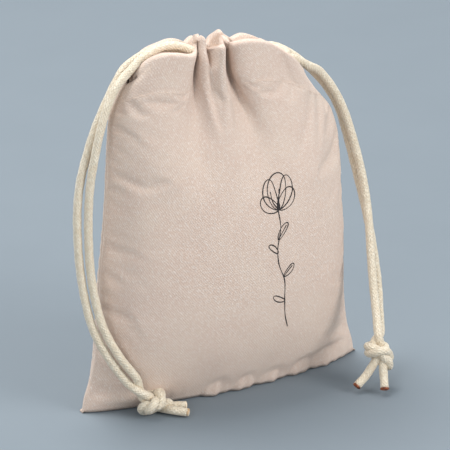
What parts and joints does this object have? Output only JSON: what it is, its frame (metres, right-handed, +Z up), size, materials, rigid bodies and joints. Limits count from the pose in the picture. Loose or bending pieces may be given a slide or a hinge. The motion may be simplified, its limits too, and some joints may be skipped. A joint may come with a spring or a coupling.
{
  "type": "drawstring gift sack",
  "caption": "Small cloth drawstring gift sack, stuffed and standing, with a gathered casing mouth and two knotted satin cord pairs leaving at the sides.",
  "frame": {"origin": "middle of the sack's footprint, on the surface it stands on", "axes": "+Z up, +X along the width to the viewer's right, -Y out of the printed front"},
  "size_m": [0.1159, 0.0629, 0.1306],
  "materials": {
    "suede": "brushed faux suede with a fine twill",
    "seam_cloth": "cut edge of the same cloth",
    "thread": "matte sewing thread",
    "satin_cord": "satin, tightly twisted"
  },
  "bodies": {
    "sack": {"front_panel": "suede", "back_panel": "suede", "left_side_seam": "seam_cloth", "right_side_seam": "seam_cloth", "bottom_seam": "seam_cloth", "front_casing": "suede", "back_casing": "suede", "front_casing_stitching": "thread", "back_casing_stitching": "thread"},
    "left_drawstring": {"left_cord_loop": "satin_cord"},
    "left_cord_ends": {"left_front_strand": "satin_cord", "left_back_strand": "satin_cord", "left_knot": "satin_cord", "left_front_tail": "satin_cord", "left_back_tail": "satin_cord"},
    "right_drawstring": {"right_cord_loop": "satin_cord"},
    "right_cord_ends": {"right_front_strand": "satin_cord", "right_back_strand": "satin_cord", "right_knot": "satin_cord", "right_front_tail": "satin_cord", "right_back_tail": "satin_cord"}
  },
  "joints": [
    {"name": "left_pull", "type": "slide", "parent": "sack", "child": "left_drawstring", "axis": [-0.9925, 0, 0.1219], "range_m": [0, 0.0025]},
    {"name": "left_lift", "type": "hinge", "parent": "left_drawstring", "child": "left_cord_ends", "pos_m": [-0.0365, 0, 0.1248], "axis": [0, 1, 0], "range_deg": [0, 75]},
    {"name": "right_pull", "type": "slide", "parent": "sack", "child": "right_drawstring", "axis": [0.9925, 0, -0.1219], "range_m": [0, 0.0025]},
    {"name": "right_lift", "type": "hinge", "parent": "right_drawstring", "child": "right_cord_ends", "pos_m": [0.036, 0.002, 0.1128], "axis": [0, -1, 0], "range_deg": [0, 75]}
  ]
}
